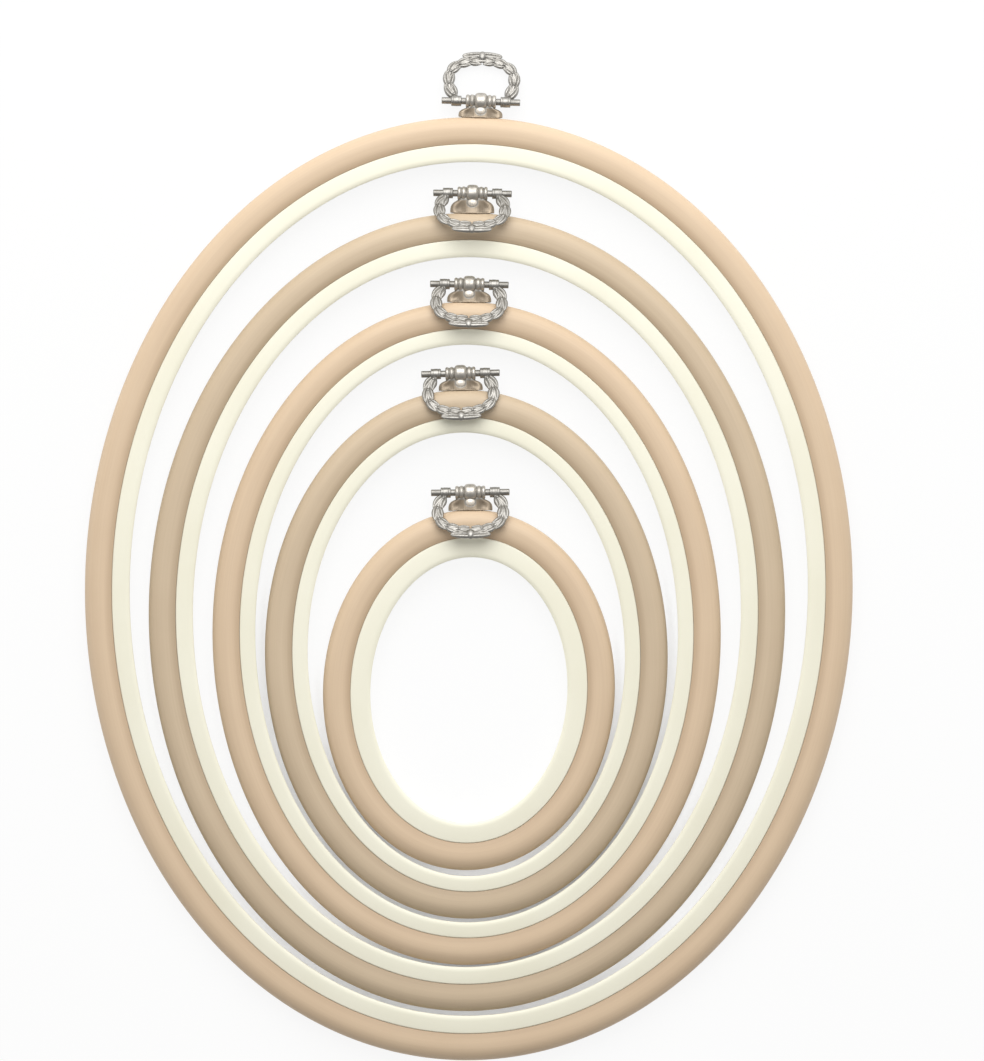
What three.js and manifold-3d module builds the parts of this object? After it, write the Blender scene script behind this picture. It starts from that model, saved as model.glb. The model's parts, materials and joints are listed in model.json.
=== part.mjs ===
// A nest of five oval embroidery hoops lying flat on a table, in millimetres, with +Z up.
// Each hoop is a rigid cream inner hoop with a flexible tan outer hoop stretched over it.
// A cast hanger is screwed to the top of each outer hoop: a lug, a pin and a hanging ring.
// The origin is on the table, under the middle of the whole set.

import * as THREE from 'three';
import { mergeVertices } from 'three/addons/utils/BufferGeometryUtils.js';
import Module from 'manifold-3d';

const wasm = await Module();
wasm.setup();

// Clearances
const FIT = 0.3; // between pieces that seat on or run in each other

// The largest hoop, overall, without its hanger
const LARGEST_WIDTH = 253.8;
const LARGEST_HEIGHT = 311.6;

// The flexible outer hoop's band, a D shape that is flat towards the inner hoop
const BAND_WIDTH = 9.1; // from the seam to the outermost edge
const BAND_HEIGHT = 7.6;
const CREST_FROM_SEAM = 4.5; // where the band is highest
const SHOULDER_DROP = 0.75; // how far the band falls from its crest to the seam

// The rigid inner hoop's section
const RIM_HEIGHT = 8.8;
const RIM_EDGE = 0.4; // chamfer along the top of its outer wall
const SLOPE_WIDTH = 2; // the rounded slope on the inner side
const SLOPE_DROP = 0.9;
const LIP_REACH = 2.4; // the lip under the outer hoop
const LIP_THICKNESS = 1.5;

// The five hoops from the largest to the smallest. A hoop's room is the free space that it leaves across
// and along the next larger one, and its gap is what is left where it lies nearest to it. Turned is in
// degrees, clockwise from above, and aside is to the right.
const HOOPS = [
  { rim: 5.85, sideRoom: 0, topRoom: 0, turned: 0.7, aside: 0, gap: 0, facets: 52 },
  { rim: 5.65, sideRoom: 13.4, topRoom: 17.9, turned: 0.58, aside: -0.61, gap: 1.18, facets: 48 },
  { rim: 5.15, sideRoom: 12.8, topRoom: 15.1, turned: -0.22, aside: -0.11, gap: 0.32, facets: 44 },
  { rim: 5.1, sideRoom: 6.3, topRoom: 15.7, turned: -1.13, aside: -0.1, gap: 0.32, facets: 40 },
  { rim: 6.6, sideRoom: 8.1, topRoom: 27.1, turned: 2.6, aside: 0.86, gap: 0.4, facets: 36 },
];

// Where each hoop's hanger is, to the right of the middle, how far its pin stands off from the band's edge,
// and by how many degrees its stiff pin holds the folded ring off the band
const HANGERS = [
  { aside: 1.9, standOff: 5, lifted: 0 },
  { aside: 0.4, standOff: 6.2, lifted: 14 },
  { aside: 1.2, standOff: 5.5, lifted: 8 },
  { aside: -0.1, standOff: 5.1, lifted: 1.5 },
  { aside: -2.1, standOff: 5.4, lifted: 5.5 },
];

// The hanger's lug: a fan-shaped foot on the band, a neck and a beaded knuckle
const FOOT_HALF_WIDTH = 7.2;
const FOOT_HALF_HEIGHT = 2;
const FOOT_REACH = 1.5; // how far the foot wraps round the band's edge
const FOOT_EDGE = 0.5; // height of the foot's plain edge before it narrows
const FOOT_CLEARANCE = 2.2; // from the foot's shoulders to the pin's axis
const NECK_HALF_WIDTH = 4.6;
const NECK_HALF_HEIGHT = 1.6;
const KNUCKLE_LENGTH = 10;
const KNUCKLE_WALL = 0.5; // round the bore, at the grooves
const BEAD_LENGTH = 4.4; // the large bead in the middle, from groove to groove
const BEAD_CROWN = 1.8; // its widest part, along the bore
const BEAD_RISE = 1; // above the grooves
const END_BEAD_RISE = 0.35;

// The hanger's pin, ring and screw
const PIN_LENGTH = 25.9;
const PIN_RADIUS = 1.1;
const RING_HALF_WIDTH = 10.9; // the ring's centre line
const RING_HALF_HEIGHT = 6.9; // above its widest place
const RING_LOW_HALF_HEIGHT = 7.6; // below its widest place, where the eyes cut it off
const RING_RISE = 7.4; // from the pin's axis to the ring's widest place
const RING_FULLNESS = 2.5; // the power of the oval, which is 2 in a plain ellipse
const RING_BAND_HALF = 1.75; // across the lowest leaf, in the plane of the ring
const RING_THICKNESS_HALF = 1.15;
const TOP_SCALE = 0.62; // size of the highest leaf as a share of the lowest
const LEAVES_PER_SIDE = 5;
const LEAF_NECK = 0.66; // share of the leaf's size that is left between two leaves
const CREST_ROOT = 0.3; // where a crest leaf starts and ends on its swell, from 0 to 1
const CREST_TIP = 0.95;
const EYE_LENGTH = 3.4;
const EYE_WALL = 0.4;
const CREST_RISE = 16.7; // from the pin's axis to the crest's two leaves
const CREST_FALL = 0.8; // how far each of them droops to its tip
const CREST_LEAF_LENGTH = 6.8;
const CREST_LEAF_HALF = 1.1;
const KNOT_HALF_WIDTH = 1.5;
const KNOT_SIDES = 8;
const SCREW_HEAD_RADIUS = 2.2;
const SCREW_HEAD_THICKNESS = 0.9;
const SCREW_RADIUS = 0.9;
const SCREW_GRIP = 2.6; // length of the screw in the lug

// Fineness of the round shapes
const BAND_ARC_STEPS = 5;
const SHOULDER_STEPS = 2;
const SLOPE_STEPS = 2;
const FOOT_SIDES = 12;
const FLARE_STEPS = 3;
const KNUCKLE_SIDES = 10;
const PIN_SIDES = 8;
const RING_SIDES = 6;
const LEAF_STEPS = 3;
const HALVING_STEPS = 16;

// Values that follow from the sizes
const BAND_BOTTOM = LIP_THICKNESS + FIT;
const BAND_MIDDLE = BAND_BOTTOM + BAND_HEIGHT / 2;
const BORE_RADIUS = PIN_RADIUS + FIT;
const GROOVE_RADIUS = BORE_RADIUS + KNUCKLE_WALL;
const EYE_RADIUS = BORE_RADIUS + EYE_WALL;
const EYE_MIDDLE = (BORE_RADIUS + EYE_RADIUS) / 2;
const RING_START = -Math.asin(((RING_RISE - EYE_MIDDLE) / RING_LOW_HALF_HEIGHT) ** (RING_FULLNESS / 2));

// Turns a closed geometry into a solid that can be cut and joined.
function solidFrom(geometry) {
  const bare = geometry.index ? geometry.clone() : mergeVertices(geometry);
  bare.deleteAttribute('normal');
  bare.deleteAttribute('uv');
  const merged = mergeVertices(bare);
  const corners = [];
  for (let i = 0; i < merged.index.count; i += 3) {
    const face = [merged.index.getX(i), merged.index.getX(i + 1), merged.index.getX(i + 2)];
    if (new Set(face).size === 3) corners.push(...face);
  }
  const mesh = new wasm.Mesh({
    numProp: 3,
    vertProperties: new Float32Array(merged.attributes.position.array),
    triVerts: new Uint32Array(corners),
  });
  return new wasm.Manifold(mesh);
}

function geometryFrom(solid) {
  const mesh = solid.getMesh();
  const geometry = new THREE.BufferGeometry();
  geometry.setAttribute('position', new THREE.BufferAttribute(new Float32Array(mesh.vertProperties), 3));
  geometry.setIndex(new THREE.BufferAttribute(new Uint32Array(mesh.triVerts), 1));
  geometry.computeVertexNormals();
  return geometry;
}

// Skins a row of rings, which all have the same number of points. A row that is a loop joins its last ring
// to its first, and any other is closed by a flat cap at each end.
function skin(rings, isLoop) {
  const sides = rings[0].length;
  const faces = [];
  const spans = isLoop ? rings.length : rings.length - 1;
  for (let i = 0; i < spans; i += 1) {
    const here = i * sides;
    const there = ((i + 1) % rings.length) * sides;
    for (let j = 0; j < sides; j += 1) {
      const next = (j + 1) % sides;
      faces.push(here + j, there + j, there + next);
      faces.push(here + j, there + next, here + next);
    }
  }
  if (!isLoop) {
    const last = (rings.length - 1) * sides;
    for (let j = 1; j < sides - 1; j += 1) {
      faces.push(0, j, j + 1);
      faces.push(last, last + j + 1, last + j);
    }
  }
  const geometry = new THREE.BufferGeometry().setFromPoints(rings.flat());
  geometry.setIndex(faces);
  return geometry;
}

// A round shape about the X axis, from a profile of (distance along X, radius) that ends on the axis.
function turnedPiece(profile, sides) {
  const points = profile.map(([along, radius]) => new THREE.Vector2(radius, along));
  return new THREE.LatheGeometry(points, sides).rotateZ(-Math.PI / 2);
}

function rod(radius, length, sides) {
  const half = length / 2;
  return turnedPiece([[-half, 0], [-half, radius], [half, radius], [half, 0]], sides);
}

// The place at t round a hoop's seam, moved outward from the seam by the given distance.
function hoopPoint(hoop, t, outward) {
  const onSeam = new THREE.Vector2(hoop.seamWide * Math.cos(t), hoop.seamHigh * Math.sin(t));
  return onSeam.addScaledVector(hoopNormal(hoop, t), outward);
}

function hoopNormal(hoop, t) {
  return new THREE.Vector2(hoop.seamHigh * Math.cos(t), hoop.seamWide * Math.sin(t)).normalize();
}

function stationsOf(hoop) {
  return Array.from({ length: hoop.facets }, (_, k) => (k * 2 * Math.PI) / hoop.facets);
}

// A hoop's outline at a distance from its seam, as it lies on the table.
function outlineOf(hoop, outward) {
  const turn = -THREE.MathUtils.degToRad(hoop.turned);
  const middle = new THREE.Vector2();
  return stationsOf(hoop).map((t) => hoopPoint(hoop, t, outward).rotateAround(middle, turn).add(hoop.centre));
}

// How far a hoop slides towards the bottom of the nest until only its gap to the next larger one is left.
function nestDrop(larger, smaller) {
  const rim = outlineOf(larger, -larger.rim);
  const band = outlineOf(smaller, BAND_WIDTH);
  let drop = Infinity;
  rim.forEach((corner, k) => {
    const along = rim[(k + 1) % rim.length].clone().sub(corner).normalize();
    const inward = new THREE.Vector2(-along.y, along.x);
    if (inward.y <= 0) return;
    for (const point of band) {
      const clear = point.clone().sub(corner).dot(inward) - smaller.gap;
      drop = Math.min(drop, clear / inward.y);
    }
  });
  return drop;
}

// Gives each hoop its number, sizes and place, from the largest to the smallest.
function nestOfHoops() {
  const nest = [];
  let width = LARGEST_WIDTH;
  let height = LARGEST_HEIGHT;
  for (const sizes of HOOPS) {
    width -= sizes.sideRoom;
    height -= sizes.topRoom;
    const hoop = {
      ...sizes,
      number: nest.length + 1,
      seamWide: width / 2 - BAND_WIDTH,
      seamHigh: height / 2 - BAND_WIDTH,
      centre: new THREE.Vector2(sizes.aside, 0),
    };
    const larger = nest[nest.length - 1];
    if (larger) {
      hoop.centre.add(larger.centre);
      hoop.centre.y -= nestDrop(larger, hoop);
    }
    hoop.hanger = HANGERS[nest.length];
    hoop.hangerAt = Math.PI / 2 - hoop.hanger.aside / (width / 2);
    nest.push(hoop);
    width -= 2 * (BAND_WIDTH + hoop.rim);
    height -= 2 * (BAND_WIDTH + hoop.rim);
  }
  return nest;
}

// The outer hoop's D-shaped section, as points of (distance from the seam, height), grown by a clearance.
function bandSection(grown) {
  const acrossEdge = BAND_WIDTH - CREST_FROM_SEAM + grown;
  const halfHeight = BAND_HEIGHT / 2 + grown;
  const toSeam = CREST_FROM_SEAM - FIT;
  const points = [];
  for (let k = 0; k <= BAND_ARC_STEPS; k += 1) {
    const a = -Math.PI / 2 + (k * Math.PI) / BAND_ARC_STEPS;
    points.push([CREST_FROM_SEAM + acrossEdge * Math.cos(a), BAND_MIDDLE + halfHeight * Math.sin(a)]);
  }
  for (let k = 1; k <= SHOULDER_STEPS; k += 1) {
    const a = (k * Math.PI) / 2 / SHOULDER_STEPS;
    const fall = SHOULDER_DROP * (1 - Math.cos(a));
    points.push([CREST_FROM_SEAM - toSeam * Math.sin(a), BAND_MIDDLE + halfHeight - fall]);
  }
  points.push([FIT, BAND_MIDDLE - halfHeight]);
  return points;
}

// The inner hoop's section: lip, upright wall, flat top and a slope that rounds down to the inner wall.
function rimSection(rim) {
  const points = [
    [LIP_REACH, 0],
    [LIP_REACH, LIP_THICKNESS],
    [0, LIP_THICKNESS],
    [0, RIM_HEIGHT - RIM_EDGE],
    [-RIM_EDGE, RIM_HEIGHT],
  ];
  for (let k = 0; k <= SLOPE_STEPS; k += 1) {
    const a = (k * Math.PI) / 2 / SLOPE_STEPS;
    const across = SLOPE_WIDTH * (1 - Math.sin(a));
    points.push([across - rim, RIM_HEIGHT - SLOPE_DROP * (1 - Math.cos(a))]);
  }
  points.push([-rim, 0]);
  return points;
}

function sweepRoundHoop(hoop, section) {
  const rings = stationsOf(hoop).map((t) =>
    section.map(([outward, height]) => {
      const place = hoopPoint(hoop, t, outward);
      return new THREE.Vector3(place.x, place.y, height);
    }),
  );
  return skin(rings, true);
}

// The hanger's own frame on its hoop: X along the pin, Y out of the hoop, and the origin on the band's edge.
function hangerFrame(hoop) {
  const place = hoopPoint(hoop, hoop.hangerAt, BAND_WIDTH);
  const normal = hoopNormal(hoop, hoop.hangerAt);
  const frame = new THREE.Group();
  frame.position.set(place.x, place.y, BAND_MIDDLE);
  frame.rotation.z = normal.angle() - Math.PI / 2;
  frame.updateMatrix();
  return frame;
}

// The screw, pointing along Y, with its head against the bottom of the outer hoop's countersink. Grown by a
// clearance, the same shape cuts that countersink, the hole through the band and the hole in the lug.
function screwShape(grown) {
  const headTop = FIT - BAND_WIDTH + FIT;
  const headSeat = headTop + SCREW_HEAD_THICKNESS;
  const tip = SCREW_GRIP;
  const radius = SCREW_RADIUS + grown;
  const profile = [
    [headTop - 2 * grown, 0],
    [headTop - 2 * grown, SCREW_HEAD_RADIUS + grown],
    [headSeat, SCREW_HEAD_RADIUS + grown],
    [headSeat, radius],
    [tip + grown, radius],
    [tip + grown, 0],
  ];
  return turnedPiece(profile, PIN_SIDES).rotateZ(Math.PI / 2);
}

function outerHoop(hoop, frame) {
  const band = solidFrom(sweepRoundHoop(hoop, bandSection(0)));
  const screwHole = solidFrom(screwShape(FIT).applyMatrix4(frame.matrix));
  return geometryFrom(band.subtract(screwHole));
}

function innerHoop(hoop) {
  return geometryFrom(solidFrom(sweepRoundHoop(hoop, rimSection(hoop.rim))));
}

function ovalRing(halfWidth, halfHeight, y, sides) {
  return Array.from({ length: sides }, (_, k) => {
    const a = (k * 2 * Math.PI) / sides;
    return new THREE.Vector3(halfWidth * Math.cos(a), y, halfHeight * Math.sin(a));
  });
}

// The lug's foot spreads like a fan from the neck to the band.
function footAndNeck(standOff) {
  const rise = standOff - FOOT_CLEARANCE - FOOT_EDGE;
  const sections = [ovalRing(FOOT_HALF_WIDTH, FOOT_HALF_HEIGHT, -FOOT_REACH, FOOT_SIDES)];
  for (let k = 0; k <= FLARE_STEPS; k += 1) {
    const s = k / FLARE_STEPS;
    const halfWidth = FOOT_HALF_WIDTH - (FOOT_HALF_WIDTH - NECK_HALF_WIDTH) * s ** 3;
    const halfHeight = NECK_HALF_HEIGHT + (FOOT_HALF_HEIGHT - NECK_HALF_HEIGHT) * (1 - s) ** 2;
    sections.push(ovalRing(halfWidth, halfHeight, FOOT_EDGE + s * rise, FOOT_SIDES));
  }
  sections.push(ovalRing(NECK_HALF_WIDTH, NECK_HALF_HEIGHT, standOff, FOOT_SIDES));
  return skin(sections, false);
}

// The knuckle is turned: a large bead in the middle, a groove on each side and a small bead at each end.
function knuckle(standOff) {
  const end = KNUCKLE_LENGTH / 2;
  const groove = BEAD_LENGTH / 2;
  const endBead = (groove + end) / 2;
  const half = [
    [BEAD_CROWN / 2, GROOVE_RADIUS + BEAD_RISE],
    [groove, GROOVE_RADIUS],
    [endBead, GROOVE_RADIUS + END_BEAD_RISE],
    [end, GROOVE_RADIUS],
    [end, 0],
  ];
  const mirrored = half.map(([along, radius]) => [-along, radius]).reverse();
  return turnedPiece([...mirrored, ...half], KNUCKLE_SIDES).translate(0, standOff, 0);
}

function hangerLug(hoop, frame) {
  const { standOff } = hoop.hanger;
  const toFrame = frame.matrix.clone().invert();
  const seat = solidFrom(sweepRoundHoop(hoop, bandSection(FIT)).applyMatrix4(toFrame));
  const bore = solidFrom(rod(BORE_RADIUS, KNUCKLE_LENGTH * 2, PIN_SIDES).translate(0, standOff, 0));
  const screwHole = solidFrom(screwShape(FIT));
  const body = solidFrom(footAndNeck(standOff)).add(solidFrom(knuckle(standOff)));
  return geometryFrom(body.subtract(seat).subtract(bore).subtract(screwHole));
}

function hangerPin() {
  return geometryFrom(solidFrom(rod(PIN_RADIUS, PIN_LENGTH, PIN_SIDES)));
}

// The ring's centre line, from one eye over the top to the other. It is a full oval, cut off by the eyes.
class RingPath extends THREE.Curve {
  getPoint(share, target = new THREE.Vector3()) {
    const t = RING_START + share * (Math.PI - 2 * RING_START);
    const across = Math.sign(Math.cos(t)) * Math.abs(Math.cos(t)) ** (2 / RING_FULLNESS);
    const along = Math.sign(Math.sin(t)) * Math.abs(Math.sin(t)) ** (2 / RING_FULLNESS);
    const halfHeight = along < 0 ? RING_LOW_HALF_HEIGHT : RING_HALF_HEIGHT;
    return target.set(RING_HALF_WIDTH * across, RING_RISE + halfHeight * along, 0);
  }
}

const RING_PATH = new RingPath();

// The wreath's leaves point up to the crest from both sides and grow smaller on their way. Each swells
// quickly from its stem and tapers slowly to its tip.
function wreath() {
  const steps = 2 * LEAVES_PER_SIDE * LEAF_STEPS;
  const rings = [];
  for (let k = 0; k <= steps; k += 1) {
    const heading = RING_PATH.getTangentAt(k / steps);
    const across = new THREE.Vector3(heading.y, -heading.x, 0);
    const towardsTop = 1 - Math.abs((2 * k) / steps - 1);
    const along = (towardsTop * LEAVES_PER_SIDE) % 1;
    const swell = LEAF_NECK + (1 - LEAF_NECK) * Math.sin(Math.PI * Math.sqrt(along));
    const size = swell * (1 - (1 - TOP_SCALE) * towardsTop);
    const middle = RING_PATH.getPointAt(k / steps);
    rings.push(leafSection(middle, across, RING_BAND_HALF * size, RING_THICKNESS_HALF * size));
  }
  return skin(rings, false);
}

// An oval section of a leaf, which lies in the plane of the ring.
function leafSection(middle, across, halfWidth, halfThickness) {
  return Array.from({ length: RING_SIDES }, (_, j) => {
    const a = (j * 2 * Math.PI) / RING_SIDES;
    const point = middle.clone().addScaledVector(across, halfWidth * Math.cos(a));
    point.z = halfThickness * Math.sin(a);
    return point;
  });
}

// The crest is two leaves over the top of the ring. They spring from a knot and hang free at their tips.
function crest() {
  const up = new THREE.Vector3(0, 1, 0);
  const rings = [];
  for (let k = -LEAF_STEPS; k <= LEAF_STEPS; k += 1) {
    const share = Math.abs(k / LEAF_STEPS);
    const swell = Math.sin(Math.PI * (CREST_ROOT + (CREST_TIP - CREST_ROOT) * share));
    const middle = new THREE.Vector3((-k / LEAF_STEPS) * CREST_LEAF_LENGTH, CREST_RISE, 0);
    middle.y -= CREST_FALL * share ** 2;
    rings.push(leafSection(middle, up, CREST_LEAF_HALF * swell, CREST_LEAF_HALF * swell));
  }
  return skin(rings, false);
}

function crestKnot() {
  const foot = RING_RISE + RING_HALF_HEIGHT;
  const knot = new THREE.SphereGeometry(1, KNOT_SIDES, KNOT_SIDES / 2);
  knot.scale(KNOT_HALF_WIDTH, (CREST_RISE + CREST_LEAF_HALF - foot) / 2, RING_THICKNESS_HALF);
  return knot.translate(0, (CREST_RISE + CREST_LEAF_HALF + foot) / 2, 0);
}

function hangerRing() {
  let ring = solidFrom(wreath()).add(solidFrom(crest())).add(solidFrom(crestKnot()));
  for (const side of [-1, 1]) {
    const eye = rod(EYE_RADIUS, EYE_LENGTH, PIN_SIDES);
    ring = ring.add(solidFrom(eye.translate(side * RING_PATH.getPoint(0).x, 0, 0)));
  }
  const bore = solidFrom(rod(BORE_RADIUS, PIN_LENGTH, PIN_SIDES));
  return geometryFrom(ring.subtract(bore));
}

function isInside(outline, x, y) {
  return outline.every(([fromX, fromY], k) => {
    const [toX, toY] = outline[(k + 1) % outline.length];
    return (toX - fromX) * (y - fromY) - (toY - fromY) * (x - fromX) > 0;
  });
}

// Whether a ring that is folded down to this angle above the hoop comes nearer to the band than its
// clearance. The band falls away on both sides of the hanger, because the hoop is round.
function foldedRingMeetsBand(hoop, ring, angle) {
  const { position } = ring.attributes;
  const section = bandSection(FIT);
  const hoopRadius = (hoop.seamWide + BAND_WIDTH) ** 2 / (hoop.seamHigh + BAND_WIDTH);
  for (let i = 0; i < position.count; i += 1) {
    const [x, y, z] = [position.getX(i), position.getY(i), position.getZ(i)];
    const fallBack = x ** 2 / 2 / hoopRadius;
    const outward = BAND_WIDTH + hoop.hanger.standOff + fallBack - y * Math.cos(angle) - z * Math.sin(angle);
    const height = BAND_MIDDLE + y * Math.sin(angle) - z * Math.cos(angle);
    if (isInside(section, outward, height)) return true;
  }
  return false;
}

// The angle of the ring above the hoop's plane when it lies folded down on the band, found by halving.
function foldedAngle(hoop, ring) {
  let low = 0;
  let high = Math.PI / 2;
  for (let step = 0; step < HALVING_STEPS; step += 1) {
    const angle = (low + high) / 2;
    if (foldedRingMeetsBand(hoop, ring, angle)) low = angle;
    else high = angle;
  }
  return high;
}

// How far a ring is turned from level outside the hoop to where its stiff pin holds it over the band.
function foldedTurn(hoop, ring) {
  return Math.PI - foldedAngle(hoop, ring) - THREE.MathUtils.degToRad(hoop.hanger.lifted);
}

// The angle below level at which a ring that is swung outward touches the table.
function restingDrop(ring) {
  const { position } = ring.attributes;
  let angle = Math.PI / 2;
  for (let i = 0; i < position.count; i += 1) {
    const reach = Math.hypot(position.getY(i), position.getZ(i));
    if (position.getY(i) > 0 && reach > BAND_MIDDLE) {
      const below = Math.atan2(-position.getZ(i), position.getY(i));
      angle = Math.min(angle, Math.asin(BAND_MIDDLE / reach) - below);
    }
  }
  return angle;
}

// Each material's colour, roughness and metalness
const MATERIALS = {
  lightTan: { color: 0xdcc4a3, roughness: 0.55, metalness: 0 },
  deepTan: { color: 0xccb799, roughness: 0.55, metalness: 0 },
  cream: { color: 0xf1efd9, roughness: 0.4, metalness: 0 },
  silver: { color: 0x9a9890, roughness: 0.35, metalness: 1 },
  steel: { color: 0xb9bbbd, roughness: 0.4, metalness: 1 },
};

function pieceOf(name, geometry, finish) {
  const piece = new THREE.Mesh(geometry, new THREE.MeshStandardMaterial(finish));
  piece.name = name;
  return piece;
}

// The hanger: lug and screw stand still on the outer hoop, and the pin turns with the ring in the lug.
function hanger(hoop) {
  const { number } = hoop;
  const frame = hangerFrame(hoop);
  frame.add(pieceOf(`hanger_lug_${number}`, hangerLug(hoop, frame), MATERIALS.silver));
  frame.add(pieceOf(`hanger_screw_${number}`, geometryFrom(solidFrom(screwShape(0))), MATERIALS.steel));
  const ring = hangerRing();
  const swing = new THREE.Group();
  swing.name = `swing_${number}`;
  swing.position.y = hoop.hanger.standOff;
  swing.rotation.x = number === 1 ? -restingDrop(ring) : foldedTurn(hoop, ring);
  swing.add(pieceOf(`hanger_ring_${number}`, ring, MATERIALS.silver));
  swing.add(pieceOf(`hanger_pin_${number}`, hangerPin(), MATERIALS.silver));
  frame.add(swing);
  return frame;
}

function wholeHoop(hoop) {
  const { number } = hoop;
  const group = new THREE.Group();
  group.position.set(hoop.centre.x, hoop.centre.y, 0);
  group.rotation.z = -THREE.MathUtils.degToRad(hoop.turned);
  const tan = number % 2 ? MATERIALS.lightTan : MATERIALS.deepTan;
  group.add(pieceOf(`inner_hoop_${number}`, innerHoop(hoop), MATERIALS.cream));
  group.add(pieceOf(`outer_hoop_${number}`, outerHoop(hoop, hangerFrame(hoop)), tan));
  group.add(hanger(hoop));
  return group;
}

const set = new THREE.Group();
for (const hoop of nestOfHoops()) {
  set.add(wholeHoop(hoop));
}

// The origin goes under the middle of the set's box.
const middle = new THREE.Box3().setFromObject(set, true).getCenter(new THREE.Vector3());
set.position.set(-middle.x, -middle.y, 0);
set.updateMatrixWorld(true);

export default set;
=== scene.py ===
"""Five oval embroidery hoops lying in each other on a white table, seen straight from above.

Sizes are in metres, written as millimetres times MM. Profiles and the small sizes of the screws,
pins and rings are in plain millimetres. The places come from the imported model.
"""

import json
import math

import bmesh
import bpy
from mathutils import Matrix, Vector


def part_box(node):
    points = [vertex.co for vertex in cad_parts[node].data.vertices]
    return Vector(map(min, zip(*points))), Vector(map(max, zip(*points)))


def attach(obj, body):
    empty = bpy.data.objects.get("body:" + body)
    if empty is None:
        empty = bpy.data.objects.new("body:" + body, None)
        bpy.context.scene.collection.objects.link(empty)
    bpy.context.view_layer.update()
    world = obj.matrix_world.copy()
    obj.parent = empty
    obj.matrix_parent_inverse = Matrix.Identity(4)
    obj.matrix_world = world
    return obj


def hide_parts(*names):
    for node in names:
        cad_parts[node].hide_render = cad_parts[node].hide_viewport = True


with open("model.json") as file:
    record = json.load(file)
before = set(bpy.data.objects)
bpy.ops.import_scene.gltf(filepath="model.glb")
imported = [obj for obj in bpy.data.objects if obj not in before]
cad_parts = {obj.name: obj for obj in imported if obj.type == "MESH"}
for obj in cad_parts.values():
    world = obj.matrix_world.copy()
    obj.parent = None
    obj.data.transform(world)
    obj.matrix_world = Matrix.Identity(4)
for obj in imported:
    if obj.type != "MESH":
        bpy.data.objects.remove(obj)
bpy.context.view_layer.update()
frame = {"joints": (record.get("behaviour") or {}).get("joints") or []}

MM = 0.001
NUMBERS = range(1, 6)

# The camera hangs straight above the table on a long lens, with the hanging rings at the top of the
# picture. Its scale is set at the level where the bands are widest.
LENS = 135
SENSOR = 36
PICTURE_LENGTH = 350.1 * MM
AIM = Vector((7.65 * MM, 8.07 * MM, 5.6 * MM))


def linked(data, name):
    """A new object with this data, in the scene."""
    thing = bpy.data.objects.new(name, data)
    bpy.context.scene.collection.objects.link(thing)
    return thing


camera = linked(bpy.data.cameras.new("camera"), "camera")
camera.data.lens = LENS
camera.data.sensor_width = SENSOR
camera.location = AIM + Vector((0, 0, PICTURE_LENGTH * LENS / SENSOR))
bpy.context.scene.camera = camera
bpy.context.scene.view_settings.view_transform = "Standard"


# The table is plain white. Seen directly it is nearly as bright as paper, and it keeps a faint part
# of the hoops' shadows, and more of them in the narrow gaps. To the undersides it is an ordinary
# pale surface.
TABLE_HALF = 4
TABLE_GAP = 0.1 * MM
TABLE_COLOUR = (0.9, 0.9, 0.89, 1)
PAPER_WHITE = 1.0
SHADOW_SHARE = 0.11
GAP_SHADOW_SHARE = 1
GAP_REACH = 8 * MM
GAP_RAYS = 8
NARROW_GAP_OPENNESS = 0.07
WIDE_GAP_OPENNESS = 0.24


def joined(nodes, *links):
    """Links pairs of sockets in a node tree."""
    for source, target in links:
        nodes.id_data.links.new(source, target)


def feed(nodes, socket, value):
    """Links a socket to another one, or sets it to a plain value."""
    if isinstance(value, bpy.types.NodeSocket):
        joined(nodes, (value, socket))
    else:
        socket.default_value = value


def worked_out(nodes, operation, *values, clamped=False):
    """The number that this sum makes of the values."""
    node = nodes.new("ShaderNodeMath")
    node.operation = operation
    node.use_clamp = clamped
    for socket, value in zip(node.inputs, values):
        feed(nodes, socket, value)
    return node.outputs["Value"]


def mapped(nodes, value, ends, new_ends=(0, 1), interpolation="LINEAR"):
    """A value moved from one range to another, and held to its ends."""
    node = nodes.new("ShaderNodeMapRange")
    node.interpolation_type = interpolation
    joined(nodes, (value, node.inputs["Value"]))
    for title, end in zip(("From Min", "From Max", "To Min", "To Max"), (*ends, *new_ends)):
        node.inputs[title].default_value = end
    return node.outputs["Result"]


def seen_directly(nodes):
    """One for a camera, glossy or clear ray, and nought for light that is scattered."""
    ray = nodes.new("ShaderNodeLightPath").outputs
    unscattered = worked_out(nodes, "MAXIMUM", ray["Is Camera Ray"], ray["Is Transmission Ray"])
    return worked_out(nodes, "MAXIMUM", unscattered, ray["Is Glossy Ray"])


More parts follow.
